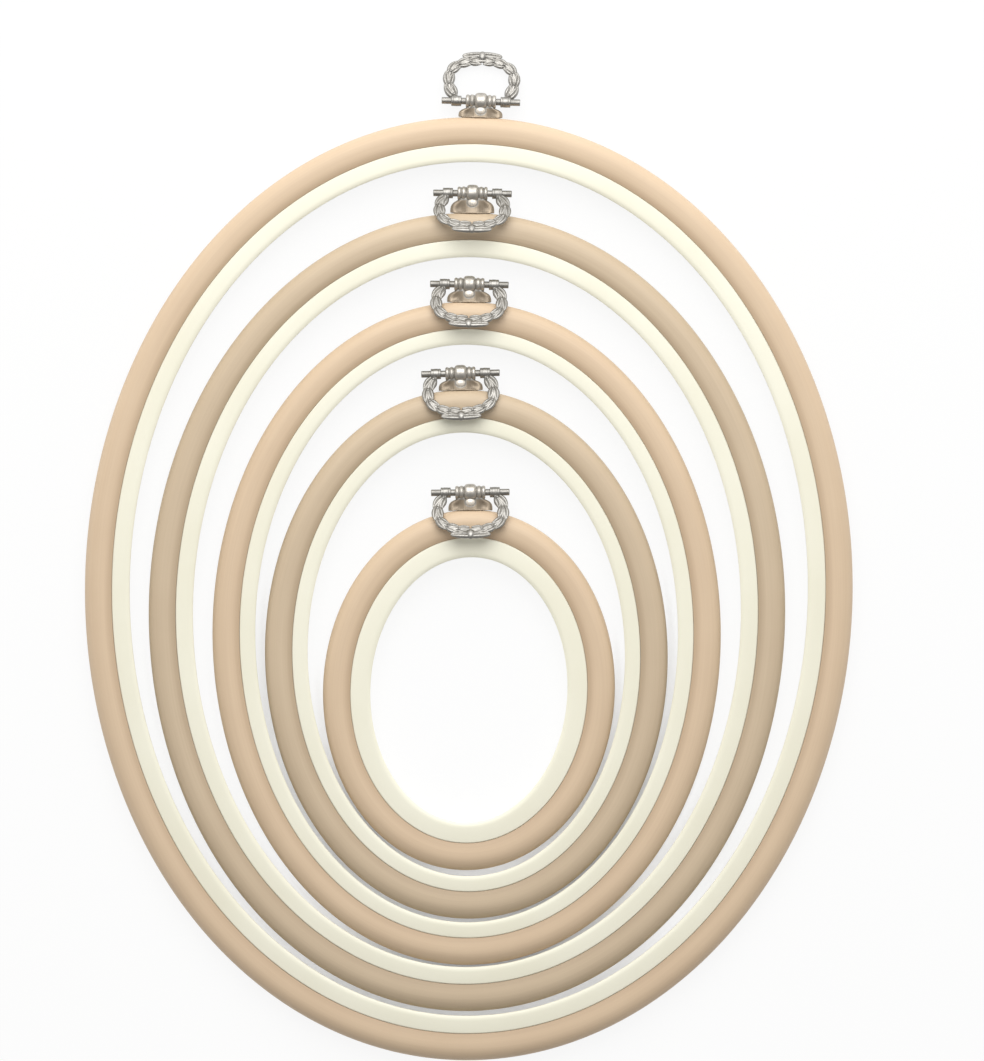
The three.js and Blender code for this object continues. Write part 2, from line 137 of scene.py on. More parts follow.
def table_material():
    """Paper white with some of its shading where it is seen directly, and plain pale otherwise."""
    material = bpy.data.materials.new("white table")
    material.use_nodes = True
    nodes = material.node_tree.nodes
    nodes.clear()
    surface = nodes.new("ShaderNodeBsdfDiffuse")
    surface.inputs["Color"].default_value = TABLE_COLOUR
    paper = nodes.new("ShaderNodeEmission")
    paper.inputs["Strength"].default_value = PAPER_WHITE
    openness = nodes.new("ShaderNodeAmbientOcclusion")
    openness.samples = GAP_RAYS
    openness.inputs["Distance"].default_value = GAP_REACH
    gap_ends = (NARROW_GAP_OPENNESS, WIDE_GAP_OPENNESS)
    share = mapped(nodes, openness.outputs["AO"], gap_ends, (GAP_SHADOW_SHARE, SHADOW_SHARE))
    shaded_paper = nodes.new("ShaderNodeMixShader")
    chosen = nodes.new("ShaderNodeMixShader")
    output = nodes.new("ShaderNodeOutputMaterial")
    joined(
        nodes,
        (share, shaded_paper.inputs["Fac"]),
        (paper.outputs["Emission"], shaded_paper.inputs[1]),
        (surface.outputs["BSDF"], shaded_paper.inputs[2]),
        (seen_directly(nodes), chosen.inputs["Fac"]),
        (surface.outputs["BSDF"], chosen.inputs[1]),
        (shaded_paper.outputs["Shader"], chosen.inputs[2]),
        (chosen.outputs["Shader"], output.inputs["Surface"]),
    )
    return material


signs = ((-1, -1), (1, -1), (1, 1), (-1, 1))
corners = [(x * TABLE_HALF, y * TABLE_HALF, -TABLE_GAP) for x, y in signs]
table_mesh = bpy.data.meshes.new("table")
table_mesh.from_pydata(corners, [], [(0, 1, 2, 3)])
table_mesh.materials.append(table_material())
table = linked(table_mesh, "table")


# A soft lamp stands beyond the hanging rings and lights the hoops from there, so the far bands are
# brighter than the near ones. The room is pale, darker towards the ceiling and on the side away
# from the lamp.
LAMP_DISTANCE = 0.72
LAMP_RISE = math.radians(52)
LAMP_WIDTH = 0.68
LAMP_POWER = 4.2
ROOM_ZENITH = 0.48
ROOM_HORIZON = 1.1
ROOM_LEAN = 0.7
GLOW_TOP = 0.45
GLOW_FOOT = 0.1

lamp = linked(bpy.data.lights.new("lamp", "AREA"), "lamp")
lamp.data.size = LAMP_WIDTH
lamp.data.energy = LAMP_POWER
towards_lamp = Vector((0, math.cos(LAMP_RISE), math.sin(LAMP_RISE)))
lamp.location = towards_lamp * LAMP_DISTANCE
lamp.rotation_euler = towards_lamp.to_track_quat("Z", "Y").to_euler()
lamp.visible_camera = False

room = bpy.data.worlds.new("room")
room.use_nodes = True
room_nodes = room.node_tree.nodes
room_nodes.clear()
sky = room_nodes.new("ShaderNodeBackground")
sky.inputs["Color"].default_value = (1, 1, 1, 1)
looking = room_nodes.new("ShaderNodeTexCoord")
upward = room_nodes.new("ShaderNodeSeparateXYZ")
room_output = room_nodes.new("ShaderNodeOutputWorld")
glow = mapped(room_nodes, upward.outputs["Z"], (GLOW_FOOT, GLOW_TOP), (ROOM_HORIZON, ROOM_ZENITH))
leaning = mapped(room_nodes, upward.outputs["Y"], (-1, 1), (1 - ROOM_LEAN, 1 + ROOM_LEAN))
joined(
    room_nodes,
    (looking.outputs["Generated"], upward.inputs["Vector"]),
    (worked_out(room_nodes, "MULTIPLY", glow, leaning), sky.inputs["Strength"]),
    (sky.outputs["Background"], room_output.inputs["Surface"]),
)
bpy.context.scene.world = room


# The inner hoops are rigid rings of smooth cream plastic, moulded in one piece. Each has an upright
# outer wall with a thin lip at its foot, a flat top, and an inner side that rounds over and draws
# back to the foot.
RIM_HEIGHT = 8.8 * MM
RIM_EDGE = 0.45 * MM
SLOPE_WIDTH = 2 * MM
SLOPE_DROP = 0.9 * MM
SLOPE_END = 1.7
WALL_DROP = 1.4 * MM
FOOT_DRAWN_BACK = 0.9 * MM
LIP_REACH = 2.4 * MM
LIP_THICKNESS = 1.5 * MM
LIP_EDGE = 0.3 * MM
BAND_WIDTH = 9.1 * MM
RIMS = {1: 5.85 * MM, 2: 5.65 * MM, 3: 5.15 * MM, 4: 5.1 * MM, 5: 6.6 * MM}
TURNED = {1: 0.7, 2: 0.58, 3: -0.22, 4: -1.13, 5: 2.6}
STATIONS = 400
ROUND_STEPS = 6
SHARP_EDGE = 40
CREAM = (0.9, 0.875, 0.725, 1)
CREAM_DEEP = (0.865, 0.835, 0.675, 1)
CREAM_SKIN = {"roughness": 0.4, "bump": 0.12, "streaks": 0, "blotch_scale": 28}
PLASTIC_SPECULAR = 0.55
BLOTCH_DETAIL = 3
STREAKS_ALONG = 18
STREAKS_ACROSS = 60
STREAK_DETAIL = 4
STREAK_ROUGHNESS = 0.6
SHADE_ENDS = (0.32, 0.68)
GRAIN_SCALE = 2600
GRAIN_DETAIL = 2
GRAIN_DEPTH = 0.05 * MM
GRAIN_DULLNESS = (-0.05, 0.07)


def geometry_tree(name, inputs):
    """An empty geometry node tree with these named inputs, and its input and output nodes."""
    tree = bpy.data.node_groups.new(name, "GeometryNodeTree")
    for title, kind in inputs.items():
        tree.interface.new_socket(title, in_out="INPUT", socket_type="NodeSocket" + kind)
    tree.interface.new_socket("Geometry", in_out="OUTPUT", socket_type="NodeSocketGeometry")
    return tree, tree.nodes.new("NodeGroupInput").outputs, tree.nodes.new("NodeGroupOutput").inputs


def shown_smooth(mesh, sharpest=None):
    """Shades a mesh smooth, but for edges sharper than the angle."""
    mesh.shade_smooth()
    if sharpest:
        mesh.set_sharp_from_angle(angle=math.radians(sharpest))
    return mesh


def finished(piece, sharpest=None):
    """Makes a piece's modifiers part of its mesh."""
    depsgraph = bpy.context.evaluated_depsgraph_get()
    mesh = bpy.data.meshes.new_from_object(piece.evaluated_get(depsgraph))
    piece.modifiers.clear()
    piece.data = shown_smooth(mesh, sharpest)
    return piece


def made_by(tree, piece, sharpest=None, **settings):
    """Works a geometry tree into a piece's mesh, with settings for the tree's named inputs."""
    maker = piece.modifiers.new(tree.name, "NODES")
    maker.node_group = tree
    for socket in tree.interface.items_tree:
        setting = socket.name.lower().replace(" ", "_")
        if socket.in_out == "INPUT" and setting in settings:
            maker[socket.identifier] = settings[setting]
    return finished(piece, sharpest)


def hoop_sweep():
    """Sweeps a section round an oval seam and lays the hoop in its place in the nest."""
    tree, given, result = geometry_tree(
        "hoop sweep",
        {
            "Section": "Object",
            "Half Width": "Float",
            "Half Height": "Float",
            "Turn": "Vector",
            "Middle": "Vector",
            "Stations": "Int",
            "Material": "Material",
        },
    )
    nodes = tree.nodes
    circle = nodes.new("GeometryNodeCurvePrimitiveCircle")
    circle.inputs["Radius"].default_value = 1
    halves = nodes.new("ShaderNodeCombineXYZ")
    oval = nodes.new("GeometryNodeTransform")
    upright = nodes.new("GeometryNodeSetCurveNormal")
    upright.mode = "Z_UP"
    section = nodes.new("GeometryNodeObjectInfo")
    round_section = nodes.new("GeometryNodeSplineParameter")
    across = nodes.new("GeometryNodeStoreNamedAttribute")
    across.data_type = "FLOAT"
    across.domain = "POINT"
    across.inputs["Name"].default_value = "across"
    sweep = nodes.new("GeometryNodeCurveToMesh")
    laid = nodes.new("GeometryNodeTransform")
    realized = nodes.new("GeometryNodeRealizeInstances")
    finish = nodes.new("GeometryNodeSetMaterial")
    joined(
        nodes,
        (given["Stations"], circle.inputs["Resolution"]),
        (given["Half Width"], halves.inputs["X"]),
        (given["Half Height"], halves.inputs["Y"]),
        (circle.outputs["Curve"], oval.inputs["Geometry"]),
        (halves.outputs["Vector"], oval.inputs["Scale"]),
        (oval.outputs["Geometry"], upright.inputs["Curve"]),
        (upright.outputs["Curve"], sweep.inputs["Curve"]),
        (given["Section"], section.inputs["Object"]),
        (section.outputs["Geometry"], across.inputs["Geometry"]),
        (round_section.outputs["Factor"], across.inputs["Value"]),
        (across.outputs["Geometry"], sweep.inputs["Profile Curve"]),
        (sweep.outputs["Mesh"], laid.inputs["Geometry"]),
        (given["Middle"], laid.inputs["Translation"]),
        (given["Turn"], laid.inputs["Rotation"]),
        (laid.outputs["Geometry"], realized.inputs["Geometry"]),
        (realized.outputs["Geometry"], finish.inputs["Geometry"]),
        (given["Material"], finish.inputs["Material"]),
        (finish.outputs["Geometry"], result["Geometry"]),
    )
    return tree


def section_curve(points):
    """A closed section to sweep, from points of (distance out from the seam, height)."""
    curve = bpy.data.curves.new("section", "CURVE")
    curve.dimensions = "3D"
    spline = curve.splines.new("POLY")
    spline.points.add(len(points) - 1)
    for place, (outward, height) in zip(spline.points, reversed(points)):
        place.co = (outward, -height, 0, 1)
    spline.use_cyclic_u = True
    return linked(curve, "section")


def corner_round(middle, radii, start, end):
    """Points on a quarter of an oval, with its angles in quarter turns from outward through up."""
    points = []
    for step in range(ROUND_STEPS + 1):
        angle = math.pi / 2 * (start + (end - start) * step / ROUND_STEPS)
        outward = middle[0] + radii[0] * math.cos(angle)
        points.append((outward, middle[1] + radii[1] * math.sin(angle)))
    return points


def rim_section(rim):
    """The inner hoop's section, counterclockwise from the lip's foot."""
    lip_middle = (LIP_REACH - LIP_EDGE, LIP_THICKNESS - LIP_EDGE)
    edge_middle = (-RIM_EDGE, RIM_HEIGHT - RIM_EDGE)
    slope_reach = -SLOPE_WIDTH * math.cos(math.pi / 2 * SLOPE_END)
    slope_middle = (slope_reach - rim, RIM_HEIGHT - SLOPE_DROP)
    points = [(LIP_REACH, 0)]
    points += corner_round(lip_middle, (LIP_EDGE, LIP_EDGE), 0, 1)
    points += [(0, LIP_THICKNESS)]
    points += corner_round(edge_middle, (RIM_EDGE, RIM_EDGE), 0, 1)
    points += corner_round(slope_middle, (SLOPE_WIDTH, SLOPE_DROP), 1, SLOPE_END)
    points += [(-rim, RIM_HEIGHT - WALL_DROP), (FOOT_DRAWN_BACK - rim, 0)]
    return points


def seam_of(number):
    """A seam's half width, half height and middle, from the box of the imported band."""
    low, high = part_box(f"outer_hoop_{number}")
    wide = (high.x - low.x) / 2 - BAND_WIDTH
    tall = (high.y - low.y) / 2 - BAND_WIDTH
    both = wide**2 + tall**2
    apart = (wide**2 - tall**2) / math.cos(2 * math.radians(TURNED[number]))
    middle = Vector(((low.x + high.x) / 2, (low.y + high.y) / 2, 0))
    return math.sqrt((both + apart) / 2), math.sqrt((both - apart) / 2), middle


def swept_hoop(tree, name, number, points, material):
    """A hoop of this section, swept round the seam of the hoop with this number."""
    half_width, half_height, middle = seam_of(number)
    section = section_curve(points)
    hoop = made_by(
        tree,
        linked(bpy.data.meshes.new(name), name),
        SHARP_EDGE,
        section=section,
        half_width=half_width,
        half_height=half_height,
        turn=(0, 0, -math.radians(TURNED[number])),
        middle=middle,
        stations=STATIONS,
        material=material,
    )
    bpy.data.objects.remove(section)
    return hoop


def noise(nodes, place, scale, detail, roughness=0.5):
    """An uneven value, finer where the scale is larger."""
    node = nodes.new("ShaderNodeTexNoise")
    node.inputs["Detail"].default_value = detail
    node.inputs["Roughness"].default_value = roughness
    feed(nodes, node.inputs["Scale"], scale)
    joined(nodes, (place, node.inputs["Vector"]))
    return node.outputs["Fac"]


def mottle_group():
    """Soft uneven colour and fine grain. Given a section's value, streaks follow the hoop."""
    group = bpy.data.node_groups.new("mottle", "ShaderNodeTree")
    kinds = {"Place": "Vector", "Across": "Float", "Blotch Scale": "Float", "Streaks": "Float"}
    for title, kind in kinds.items():
        group.interface.new_socket(title, in_out="INPUT", socket_type="NodeSocket" + kind)
    for title in ("Shade", "Grain"):
        group.interface.new_socket(title, in_out="OUTPUT", socket_type="NodeSocketFloat")
    nodes = group.nodes
    given = nodes.new("NodeGroupInput").outputs
    result = nodes.new("NodeGroupOutput").inputs
    parts = nodes.new("ShaderNodeSeparateXYZ")
    along = nodes.new("ShaderNodeCombineXYZ")
    mix = nodes.new("ShaderNodeMix")
    mix.data_type = "FLOAT"
    streaks = noise(nodes, along.outputs["Vector"], 1, STREAK_DETAIL, STREAK_ROUGHNESS)
    joined(
        nodes,
        (given["Place"], parts.inputs["Vector"]),
        (worked_out(nodes, "MULTIPLY", parts.outputs["X"], STREAKS_ALONG), along.inputs["X"]),
        (worked_out(nodes, "MULTIPLY", parts.outputs["Y"], STREAKS_ALONG), along.inputs["Y"]),
        (given["Across"], along.inputs["Z"]),
        (given["Streaks"], mix.inputs["Factor"]),
        (noise(nodes, given["Place"], given["Blotch Scale"], BLOTCH_DETAIL), mix.inputs["A"]),
        (streaks, mix.inputs["B"]),
        (mix.outputs["Result"], result["Shade"]),
        (noise(nodes, given["Place"], GRAIN_SCALE, GRAIN_DETAIL), result["Grain"]),
    )
    return group


def new_material(name):
    """A material, its nodes and its shader's inputs."""
    material = bpy.data.materials.new(name)
    material.use_nodes = True
    nodes = material.node_tree.nodes
    return material, nodes, nodes["Principled BSDF"].inputs


def stored(nodes, title):
    """The value that a mesh stores under this name."""
    node = nodes.new("ShaderNodeAttribute")
    node.attribute_name = title
    return node.outputs["Fac"]


def mixed(nodes, factor, first, second, blend="MIX"):
    """A mix of two colours."""
    node = nodes.new("ShaderNodeMix")
    node.data_type = "RGBA"
    node.blend_type = blend
    for title, value in (("Factor", factor), ("A", first), ("B", second)):
        feed(nodes, node.inputs[title], value)
    return node.outputs["Result"]


def relief(nodes, height, strength, depth):
    """The normals of a skin with this fine relief."""
    node = nodes.new("ShaderNodeBump")
    node.inputs["Strength"].default_value = strength
    node.inputs["Distance"].default_value = depth
    joined(nodes, (height, node.inputs["Height"]))
    return node.outputs["Normal"]


def plastic(name, light, deep, roughness, bump, streaks, blotch_scale):
    """A moulded plastic that wanders between two close colours, with a fine grain in its skin."""
    material, nodes, shader = new_material(name)
    shader["Specular IOR Level"].default_value = PLASTIC_SPECULAR
    place = nodes.new("ShaderNodeTexCoord").outputs["Object"]
    uneven = nodes.new("ShaderNodeGroup")
    uneven.node_tree = MOTTLE
    uneven.inputs["Blotch Scale"].default_value = blotch_scale
    uneven.inputs["Streaks"].default_value = streaks
    shade = mapped(nodes, uneven.outputs["Shade"], SHADE_ENDS)
    grain = uneven.outputs["Grain"]
    dullness = [roughness + change for change in GRAIN_DULLNESS]
    across = worked_out(nodes, "MULTIPLY", stored(nodes, "across"), STREAKS_ACROSS)
    joined(
        nodes,
        (place, uneven.inputs["Place"]),
        (across, uneven.inputs["Across"]),
        (mixed(nodes, shade, light, deep), shader["Base Color"]),
        (mapped(nodes, grain, (0, 1), dullness), shader["Roughness"]),
        (relief(nodes, grain, bump, GRAIN_DEPTH), shader["Normal"]),
    )
    return material


MOTTLE = mottle_group()
cream_plastic = plastic("cream plastic", CREAM, CREAM_DEEP, **CREAM_SKIN)
sweep_tree = hoop_sweep()
for number in NUMBERS:
    section = rim_section(RIMS[number])
    rim = swept_hoop(sweep_tree, f"cream_rim_{number}", number, section, cream_plastic)
    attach(rim, f"inner_{number}")
    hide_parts(f"inner_hoop_{number}")


# The outer hoops are soft vinyl bands of a D section, round on the outside and flat towards the
# inner hoop that they are stretched over. The hoops take turns between a lighter and a deeper,
# greyer tan.
BAND_BOTTOM = 1.8 * MM
BAND_HEIGHT = 7.6 * MM
CREST_FROM_SEAM = 4.5 * MM
SHOULDER_DROP = 0.7 * MM
SHOULDER_CURVE = 2.2
# The seam colour and width below are painted shade, which darkens the band next to the seam and the
# cream rim.
SEAM_SHADE = (0.8, 0.77, 0.74, 1)
SEAM_SHADE_WIDTH = 3.1 * MM
SEAM_GAP = 0.05 * MM
BAND_EDGE = 0.35 * MM
BAND_STEPS = 28
SHOULDER_STEPS = 10
LIGHT_TAN = (0.7, 0.535, 0.365, 1)
LIGHT_TAN_DEEP = (0.655, 0.49, 0.33, 1)
DEEP_TAN = (0.615, 0.485, 0.335, 1)
DEEP_TAN_DEEP = (0.565, 0.44, 0.3, 1)
VINYL_SKIN = {"roughness": 0.5, "bump": 0.2, "streaks": 0.6, "blotch_scale": 45}


def band_section():
    """The outer hoop's section, counterclockwise from the foot of its round outer side."""
    middle = BAND_BOTTOM + BAND_HEIGHT / 2
    points = []
    for step in range(BAND_STEPS + 1):
        angle = -math.pi / 2 + math.pi * step / BAND_STEPS
        outward = CREST_FROM_SEAM + (BAND_WIDTH - CREST_FROM_SEAM) * math.cos(angle)
        points.append((outward, middle + BAND_HEIGHT / 2 * math.sin(angle)))
    for step in range(1, SHOULDER_STEPS + 1):
        share = step / SHOULDER_STEPS
        drop = SHOULDER_DROP * share**SHOULDER_CURVE
        outward = CREST_FROM_SEAM - (CREST_FROM_SEAM - SEAM_GAP) * share
        points.append((outward, middle + BAND_HEIGHT / 2 - drop))
    edge_middle = (SEAM_GAP + BAND_EDGE, BAND_BOTTOM + BAND_EDGE)
    points += corner_round(edge_middle, (BAND_EDGE, BAND_EDGE), 2, 3)
    return points


def shares_round(points):
    """How far round a section its seam lies, and the end of the darker strip on its shoulder, both
    as shares of its whole length in the direction of the sweep."""
    ring = list(reversed(points))
    steps = [math.dist(here, there) for here, there in zip(ring, ring[1:] + ring[:1])]
    seam = ring.index(points[BAND_STEPS + SHOULDER_STEPS])
    to_seam = sum(steps[:seam])
    return to_seam / sum(steps), (to_seam + SEAM_SHADE_WIDTH) / sum(steps)


def painted_shade_by_the_seam(material):
    """Painted shade on the last of the vinyl's shoulder, next to the seam and the cream rim."""
    nodes = material.node_tree.nodes
    base_colour = nodes["Principled BSDF"].inputs["Base Color"]
    plain = base_colour.links[0].from_socket
    ends = shares_round(band_section())
    strip = mapped(nodes, stored(nodes, "across"), ends, (1, 0), "SMOOTHSTEP")
    joined(nodes, (mixed(nodes, strip, plain, SEAM_SHADE, "MULTIPLY"), base_colour))
    return material


light_tan = painted_shade_by_the_seam(plastic("light tan vinyl", LIGHT_TAN, LIGHT_TAN_DEEP, **VINYL_SKIN))
deep_tan = painted_shade_by_the_seam(plastic("deep tan vinyl", DEEP_TAN, DEEP_TAN_DEEP, **VINYL_SKIN))
for number in NUMBERS:
    tan = light_tan if number % 2 else deep_tan
    band = swept_hoop(sweep_tree, f"tan_band_{number}", number, band_section(), tan)
    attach(band, f"outer_{number}")
    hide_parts(f"outer_hoop_{number}")


# The hanger's lug is cast in white metal with an antique silver finish. Its foot is hollowed to sit
# on the band's round edge, and flares out from a short neck. The neck carries a beaded knuckle with
# a cross bore.
STAND_OFFS = {1: 5 * MM, 2: 6.2 * MM, 3: 5.5 * MM, 4: 5.1 * MM, 5: 5.4 * MM}
FOOT_HALF_WIDTH = 7.3 * MM
FOOT_HALF_HEIGHT = 2 * MM
FOOT_EDGE = 0.45 * MM
FOOT_CLEARANCE = 0.06 * MM
FOOT_TOP_HALF_WIDTH = 4.7 * MM
FOOT_SIDES = 64
SOLE_RINGS = (0.25, 0.5, 0.75, 0.92, 1)
FLARE_RINGS = 10
FLARE_CURVE = 3
THINNING_CURVE = 1.6
NECK_HALF_HEIGHT = 1.6 * MM
NECK_END = 1.65 * MM
SHOULDER_REACH = 2.2 * MM
SHOULDER_SQUARENESS = 6
SCOOP_DEPTH = 0.52
SCOOP_FROM = 0.2
SCOOP_TO = 0.95
SCOOP_LEAD = 0.25
BOSS = (1.75, 1.5, 1)
BOSS_FROM_PIN = 3.15 * MM
BOSS_HEIGHT = 1.35 * MM
BALL_SEGMENTS = 20
BALL_RINGS = 12
BORE = 1.4 * MM
TURNED_SIDES = 64
KNUCKLE = [(0, 2.87), (0.6, 2.88), (1.15, 2.84), (1.55, 2.66), (1.85, 2.3), (2.05, 1.94)]
KNUCKLE += [(2.3, 2.05), (2.5, 2.22), (2.9, 2.32), (3.3, 2.22), (3.5, 1.98), (3.65, 1.92)]
KNUCKLE += [(3.85, 2.02), (4.05, 2.2), (4.4, 2.26), (4.75, 2.14), (4.95, 1.95), (5, 1.75)]
KNUCKLE += [(5, 1.4)]
CASTING_GRAIN = 0.12 * MM
SOFTENING = 0.5
SOFTENING_ROUNDS = 4
HOLLOW_REACH = 14
HOLLOW_DEPTHS = (-0.03 * MM, 0.1 * MM)
PATCH_SCALE = 420
PATCH_DETAIL = 4
PATCH_ENDS = (0.35, 0.75)
PATCH_TARNISH = (-0.15, 0.35)
# Below the knuckle the foot gets painted shade, browned by a painted reflection of the tan band.
PAINTED_SHADE_FROM_PIN = 1.9 * MM
PAINTED_SHADE_FADE = 0.7 * MM
BOSS_FADE = 0.25
# The boss and the knuckle get a painted highlight; this is its share on the knuckle.
KNUCKLE_HIGHLIGHT = 0.3
METAL_LOST_TO_TARNISH = 0.4
METAL_LOST_TO_PAINTED_LIGHT = 0.45
SILVER_ROUGHNESS = (0.38, 0.6)
SKIN_SCALE = 1900
SKIN_DETAIL = 3
SKIN_BUMP = 0.25
SKIN_DEPTH = 0.05 * MM
SILVER = (0.38, 0.366, 0.34, 1)
# The next colour is a painted highlight on the boss and the knuckle.
PAINTED_HIGHLIGHT = (0.95, 0.87, 0.76, 1)
TARNISH = (0.16, 0.148, 0.125, 1)
# The next two colours are painted shade on the foot, browned by the tan band's painted reflection.
PAINTED_SHADE = (0.39, 0.315, 0.23, 1)
PAINTED_SHADE_DEEP = (0.13, 0.1, 0.07, 1)


def skinned(rings, closed=False):
    """A mesh over a row of rings of points. A ring of one point closes that end."""
    shape = bmesh.new()
    made = [[shape.verts.new(point) for point in ring] for ring in rings]
    if closed:
        made.append(made[0])
    for near, far in zip(made, made[1:]):
        sides = max(len(near), len(far))
        for step in range(sides):
            corners = [near[step % len(near)], near[(step + 1) % len(near)]]
            corners += [far[(step + 1) % len(far)], far[step % len(far)]]
            shape.faces.new(dict.fromkeys(corners))
    bmesh.ops.recalc_face_normals(shape, faces=shape.faces)
    mesh = bpy.data.meshes.new("skin")
    shape.to_mesh(mesh)
    shape.free()
    return mesh


def around(axis_point, radius, sides):
    """Points round the X axis."""
    turns = [2 * math.pi * step / sides for step in range(sides)]
    places = [(radius * math.cos(turn), radius * math.sin(turn)) for turn in turns]
    return [Vector((axis_point, y, z)) for y, z in places]


def bored(profile, bore, sides=TURNED_SIDES):
    """A piece turned about the X axis from half of its profile in millimetres, with a bore."""
    half = [(along * MM, radius * MM) for along, radius in profile]
    whole = [(-along, radius) for along, radius in reversed(half[1:])] + half
    rings = [around(along, radius, sides) for along, radius in whole]
    rings += [around(whole[-1][0], bore, sides), around(whole[0][0], bore, sides)]
    return skinned(rings, closed=True)


def joined_mesh(meshes, name):
    """One mesh of several, which are used up."""
    shape = bmesh.new()
    for mesh in meshes:
        shape.from_mesh(mesh)
        bpy.data.meshes.remove(mesh)
    whole = bpy.data.meshes.new(name)
    shape.to_mesh(whole)
    shape.free()
    return whole


def ball_mesh(radius, middle=(0, 0, 0)):
    """A ball or egg from its three radii and its middle, in millimetres."""
    shape = bmesh.new()
    bmesh.ops.create_uvsphere(shape, u_segments=BALL_SEGMENTS, v_segments=BALL_RINGS, radius=1)
    ball = bpy.data.meshes.new("ball")
    shape.to_mesh(ball)
    shape.free()
    shaped = Matrix.Diagonal((*(Vector(radius) * MM), 1))
    ball.transform(Matrix.Translation(Vector(middle) * MM) @ shaped)
    return ball


def hollows_tree():
    """Stores how deep each place lies below the surface round it, where tarnish gathers."""
    kinds = {"Mesh": "Geometry", "Reach": "Int", "Material": "Material"}
    tree, given, result = geometry_tree("hollows", kinds)
    nodes = tree.nodes
    place = nodes.new("GeometryNodeInputPosition")
    normal = nodes.new("GeometryNodeInputNormal")
    blur = nodes.new("GeometryNodeBlurAttribute")
    blur.data_type = "FLOAT_VECTOR"
    depth = nodes.new("ShaderNodeVectorMath")
    depth.operation = "SUBTRACT"
    along_normal = nodes.new("ShaderNodeVectorMath")
    along_normal.operation = "DOT_PRODUCT"
    store = nodes.new("GeometryNodeStoreNamedAttribute")
    store.data_type = "FLOAT"
    store.domain = "POINT"
    store.inputs["Name"].default_value = "hollow"
    realized = nodes.new("GeometryNodeRealizeInstances")
    finish = nodes.new("GeometryNodeSetMaterial")
    blurred = [socket for socket in blur.outputs if socket.enabled][0]
    unblurred = [socket for socket in blur.inputs if socket.enabled and socket.name == "Value"][0]
    joined(
        nodes,
        (place.outputs["Position"], unblurred),
        (given["Reach"], blur.inputs["Iterations"]),
        (blurred, depth.inputs[0]),
        (place.outputs["Position"], depth.inputs[1]),
        (depth.outputs["Vector"], along_normal.inputs[0]),
        (normal.outputs["Normal"], along_normal.inputs[1]),
        (given["Mesh"], store.inputs["Geometry"]),
        (along_normal.outputs["Value"], store.inputs["Value"]),
        (store.outputs["Geometry"], realized.inputs["Geometry"]),
        (realized.outputs["Geometry"], finish.inputs["Geometry"]),
        (given["Material"], finish.inputs["Material"]),
        (finish.outputs["Geometry"], result["Geometry"]),
    )
    return tree


def cast(mesh, name, material):
    """Melts overlapping shapes into one casting with soft inner corners, and stores its hollows."""
    piece = linked(mesh, name)
    melt = piece.modifiers.new("melt", "REMESH")
    melt.mode = "VOXEL"
    melt.voxel_size = CASTING_GRAIN
    soften = piece.modifiers.new("soften", "SMOOTH")
    soften.factor = SOFTENING
    soften.iterations = SOFTENING_ROUNDS
    return made_by(HOLLOWS, finished(piece), reach=HOLLOW_REACH, material=material)


def antique_silver():
    """Bright on its high places and tarnished in its hollows, with a slightly uneven cast skin.
    Above nought the mesh's painted light gives painted brown shade, with the tan band's reflection
    painted in, and below nought a painted highlight."""
    material, nodes, shader = new_material("antique silver")
    place = nodes.new("ShaderNodeTexCoord").outputs["Object"]
    painted_light = stored(nodes, "painted_light")
    deep = mapped(nodes, stored(nodes, "hollow"), HOLLOW_DEPTHS)
    uneven = noise(nodes, place, PATCH_SCALE, PATCH_DETAIL)
    patches = mapped(nodes, uneven, PATCH_ENDS, PATCH_TARNISH)
    tarnished = worked_out(nodes, "ADD", deep, patches, clamped=True)
    highlight_share = worked_out(nodes, "MULTIPLY", painted_light, -1, clamped=True)
    high = mixed(nodes, painted_light, mixed(nodes, highlight_share, SILVER, PAINTED_HIGHLIGHT), PAINTED_SHADE)
    low = mixed(nodes, painted_light, TARNISH, PAINTED_SHADE_DEEP)
    under_tarnish = worked_out(nodes, "MULTIPLY_ADD", tarnished, -METAL_LOST_TO_TARNISH, 1)
    painted_amount = worked_out(nodes, "ABSOLUTE", painted_light)
    bare = worked_out(
        nodes, "MULTIPLY_ADD", painted_amount, -METAL_LOST_TO_PAINTED_LIGHT, under_tarnish, clamped=True
    )
    skin = noise(nodes, place, SKIN_SCALE, SKIN_DETAIL)
    joined(
        nodes,
        (mixed(nodes, tarnished, high, low), shader["Base Color"]),
        (bare, shader["Metallic"]),
        (mapped(nodes, tarnished, (0, 1), SILVER_ROUGHNESS), shader["Roughness"]),
        (relief(nodes, skin, SKIN_BUMP, SKIN_DEPTH), shader["Normal"]),
    )
    return material


def hanger_place(number):
    """The hanger's frame: X along the pin, Y out of the hoop, and the origin on the band's edge."""
    joint = next(joint for joint in frame["joints"] if joint["name"] == f"ring_{number}_swing")
    along = Vector(joint["axis"])
    along *= math.copysign(1, along.x)
    outward = Vector((0, 0, 1)).cross(along)
    axes = Matrix((along, outward, Vector((0, 0, 1)))).transposed()
    return Matrix.Translation(Vector(joint["pos_m"]) - STAND_OFFS[number] * outward) @ axes.to_4x4()


